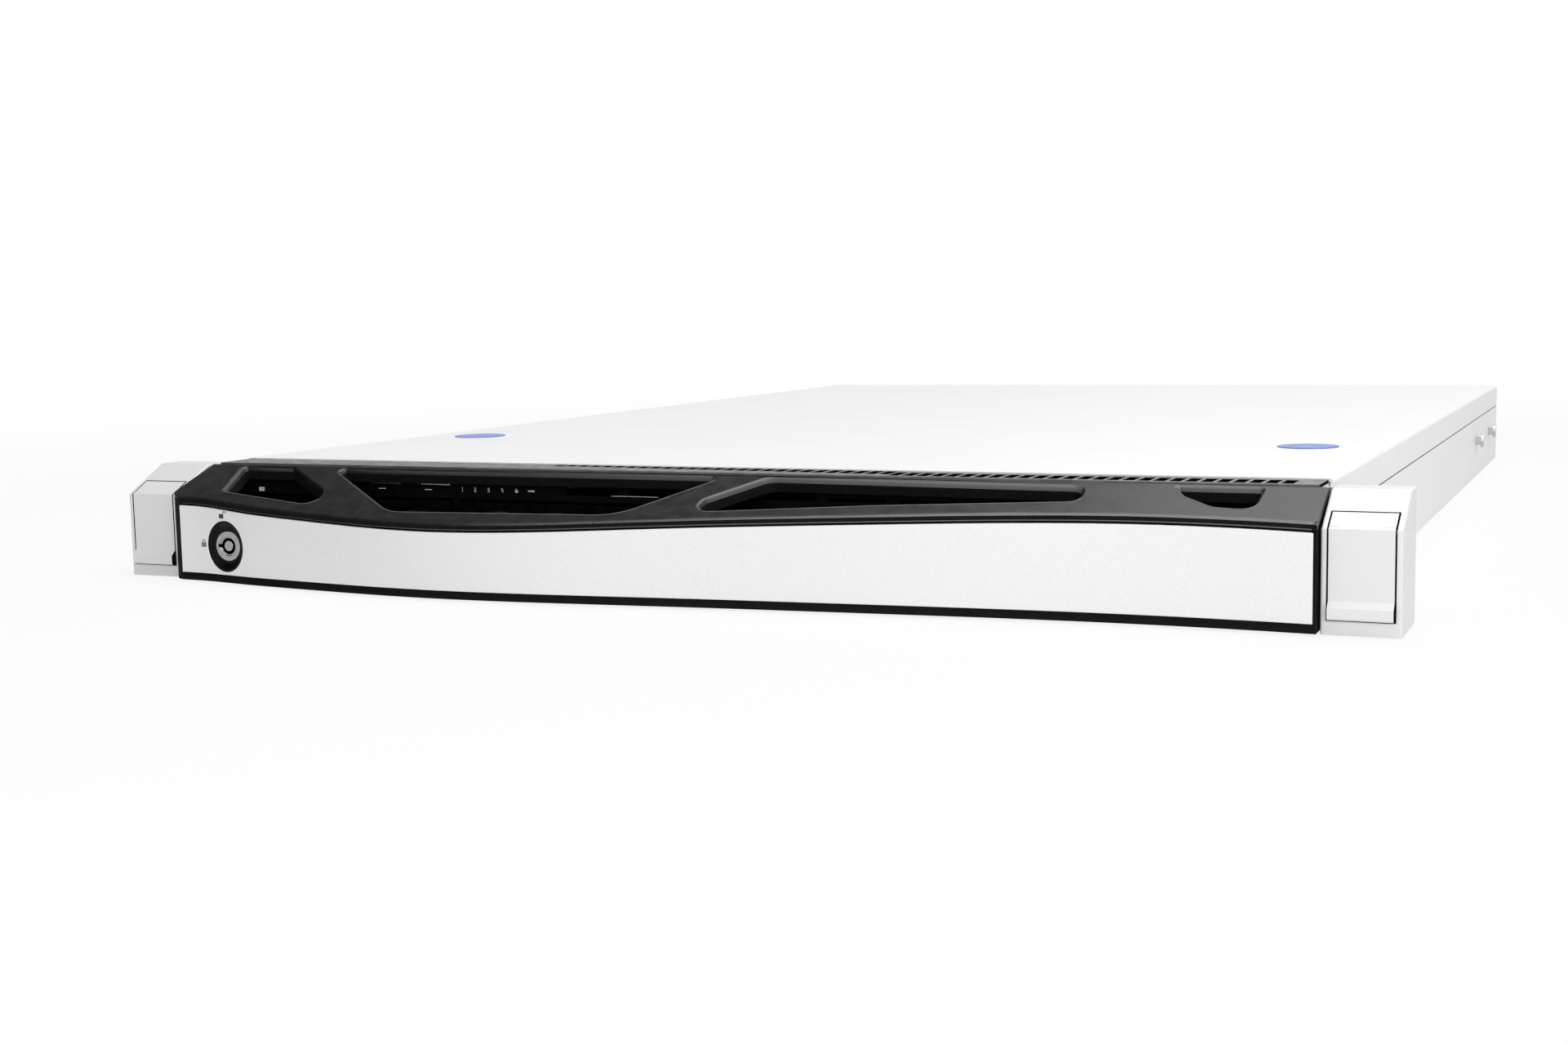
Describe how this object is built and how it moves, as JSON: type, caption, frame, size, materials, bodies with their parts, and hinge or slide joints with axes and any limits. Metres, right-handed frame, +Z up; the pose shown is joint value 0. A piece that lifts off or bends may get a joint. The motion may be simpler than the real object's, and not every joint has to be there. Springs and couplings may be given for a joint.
{
  "type": "1u rack server",
  "caption": "One-unit rack server with a lockable wave-fronted bezel, flap-covered rack ears, sliding top cover, drive bays, fans, boards and power supply.",
  "frame": {"origin": "middle of the rack plane, which is the rear faces of the two rack flanges, at the underside of the chassis", "axes": "+X right seen from the front, +Y to the rear, +Z up"},
  "size_m": [0.4826, 0.6847, 0.0439],
  "materials": {
    "bezel_black": "satin, fine grain",
    "plate_silver": "satin",
    "lock_black": "gloss",
    "lock_silver": "polished",
    "ear_white": "satin",
    "case_light": "powder coat",
    "case_zinc": "plain zinc",
    "steel": "plain",
    "pad_blue": "matt",
    "strip_dark": "matt",
    "port_metal": "plated",
    "tongue_blue": "matt",
    "lens_clear": "gloss",
    "board_green": "solder mask",
    "button_light": "satin",
    "inner_black": "matt",
    "fin_aluminium": "plain",
    "drive_metal": "cast",
    "brass": "plain"
  },
  "bodies": {
    "chassis": {"ear_housing_right": "ear_white", "ear_housing_left": "ear_white", "flap_pins": "steel", "ear_bracket_right": "steel", "ear_bracket_left": "steel", "chassis_pan": "case_light", "rear_panel": "case_zinc", "front_top_strip": "case_zinc", "rail_studs": "steel", "control_strip": "strip_dark", "usb_shells": "port_metal", "usb_tongues": "tongue_blue", "status_lenses": "lens_clear", "control_board": "board_green", "button_switches": "inner_black", "drive_cage": "case_zinc", "drive_tray_1": "inner_black", "drive_tray_2": "inner_black", "drive_tray_3": "inner_black", "drive_tray_4": "inner_black", "tray_levers": "inner_black", "hard_drives": "drive_metal", "backplane": "board_green", "drive_sockets": "inner_black", "fan_wall": "case_zinc", "fan_frames": "inner_black", "air_duct": "inner_black", "motherboard": "board_green", "board_standoffs": "brass", "cpu_sockets": "inner_black", "heatsinks": "fin_aluminium", "memory_sockets": "inner_black", "memory_sticks": "board_green", "rear_ports": "port_metal", "riser_card": "board_green", "slot_cover": "case_zinc", "power_supply": "case_zinc", "power_inlet": "inner_black"},
    "bezel": {"bezel_frame": "bezel_black", "bezel_plate": "plate_silver", "lock_sleeve": "lock_black", "lock_barrel": "lock_silver", "lock_nut": "steel"},
    "lock": {"lock_core": "lock_silver", "lock_cam": "steel"},
    "flap_right": {"ear_flap_right": "ear_white"},
    "flap_left": {"ear_flap_left": "ear_white"},
    "screw_right": {"rack_screw_right": "steel"},
    "screw_left": {"rack_screw_left": "steel"},
    "cover": {"top_cover": "case_light", "cover_push_pads": "pad_blue"},
    "power_button": {"power_button": "button_light"},
    "reset_button": {"reset_button": "button_light"},
    "fan_1": {"fan_rotor_1": "inner_black"},
    "fan_2": {"fan_rotor_2": "inner_black"},
    "fan_3": {"fan_rotor_3": "inner_black"},
    "fan_4": {"fan_rotor_4": "inner_black"},
    "supply_fan": {"psu_fan_rotor": "inner_black"}
  },
  "joints": [
    {"name": "bezel_pull", "type": "slide", "parent": "chassis", "child": "bezel", "axis": [0, -1, 0], "range_m": [0, 0.12]},
    {"name": "lock_turn", "type": "hinge", "parent": "bezel", "child": "lock", "pos_m": [-0.1856, -0.035, 0.0143], "axis": [0, 1, 0], "range_deg": [0, 90]},
    {"name": "flap_right_swing", "type": "hinge", "parent": "chassis", "child": "flap_right", "pos_m": [0.23, -0.0289, 0.031], "axis": [-1, 0, 0], "range_deg": [0, 95]},
    {"name": "flap_left_swing", "type": "hinge", "parent": "chassis", "child": "flap_left", "pos_m": [-0.23, -0.0289, 0.031], "axis": [-1, 0, 0], "range_deg": [0, 95]},
    {"name": "screw_right_turn", "type": "hinge", "parent": "chassis", "child": "screw_right", "pos_m": [0.23255, 0, 0.0218], "axis": [0, 1, 0], "continuous": true},
    {"name": "screw_left_turn", "type": "hinge", "parent": "chassis", "child": "screw_left", "pos_m": [-0.23255, 0, 0.0218], "axis": [0, 1, 0], "continuous": true},
    {"name": "cover_slide", "type": "slide", "parent": "chassis", "child": "cover", "axis": [0, 1, 0], "range_m": [0, 0.3]},
    {"name": "power_press", "type": "slide", "parent": "chassis", "child": "power_button", "axis": [0, 1, 0], "range_m": [0, 0.001], "stiffness_N_per_m": 300},
    {"name": "reset_press", "type": "slide", "parent": "chassis", "child": "reset_button", "axis": [0, 1, 0], "range_m": [0, 0.001], "stiffness_N_per_m": 300},
    {"name": "fan_1_spin", "type": "hinge", "parent": "chassis", "child": "fan_1", "pos_m": [-0.15915, 0.19, 0.0214], "axis": [0, 1, 0], "continuous": true},
    {"name": "fan_2_spin", "type": "hinge", "parent": "chassis", "child": "fan_2", "pos_m": [-0.05305, 0.19, 0.0214], "axis": [0, 1, 0], "continuous": true},
    {"name": "fan_3_spin", "type": "hinge", "parent": "chassis", "child": "fan_3", "pos_m": [0.05305, 0.19, 0.0214], "axis": [0, 1, 0], "continuous": true},
    {"name": "fan_4_spin", "type": "hinge", "parent": "chassis", "child": "fan_4", "pos_m": [0.15915, 0.19, 0.0214], "axis": [0, 1, 0], "continuous": true},
    {"name": "supply_fan_spin", "type": "hinge", "parent": "chassis", "child": "supply_fan", "pos_m": [0.1867, 0.615, 0.0212], "axis": [0, 1, 0], "continuous": true}
  ]
}
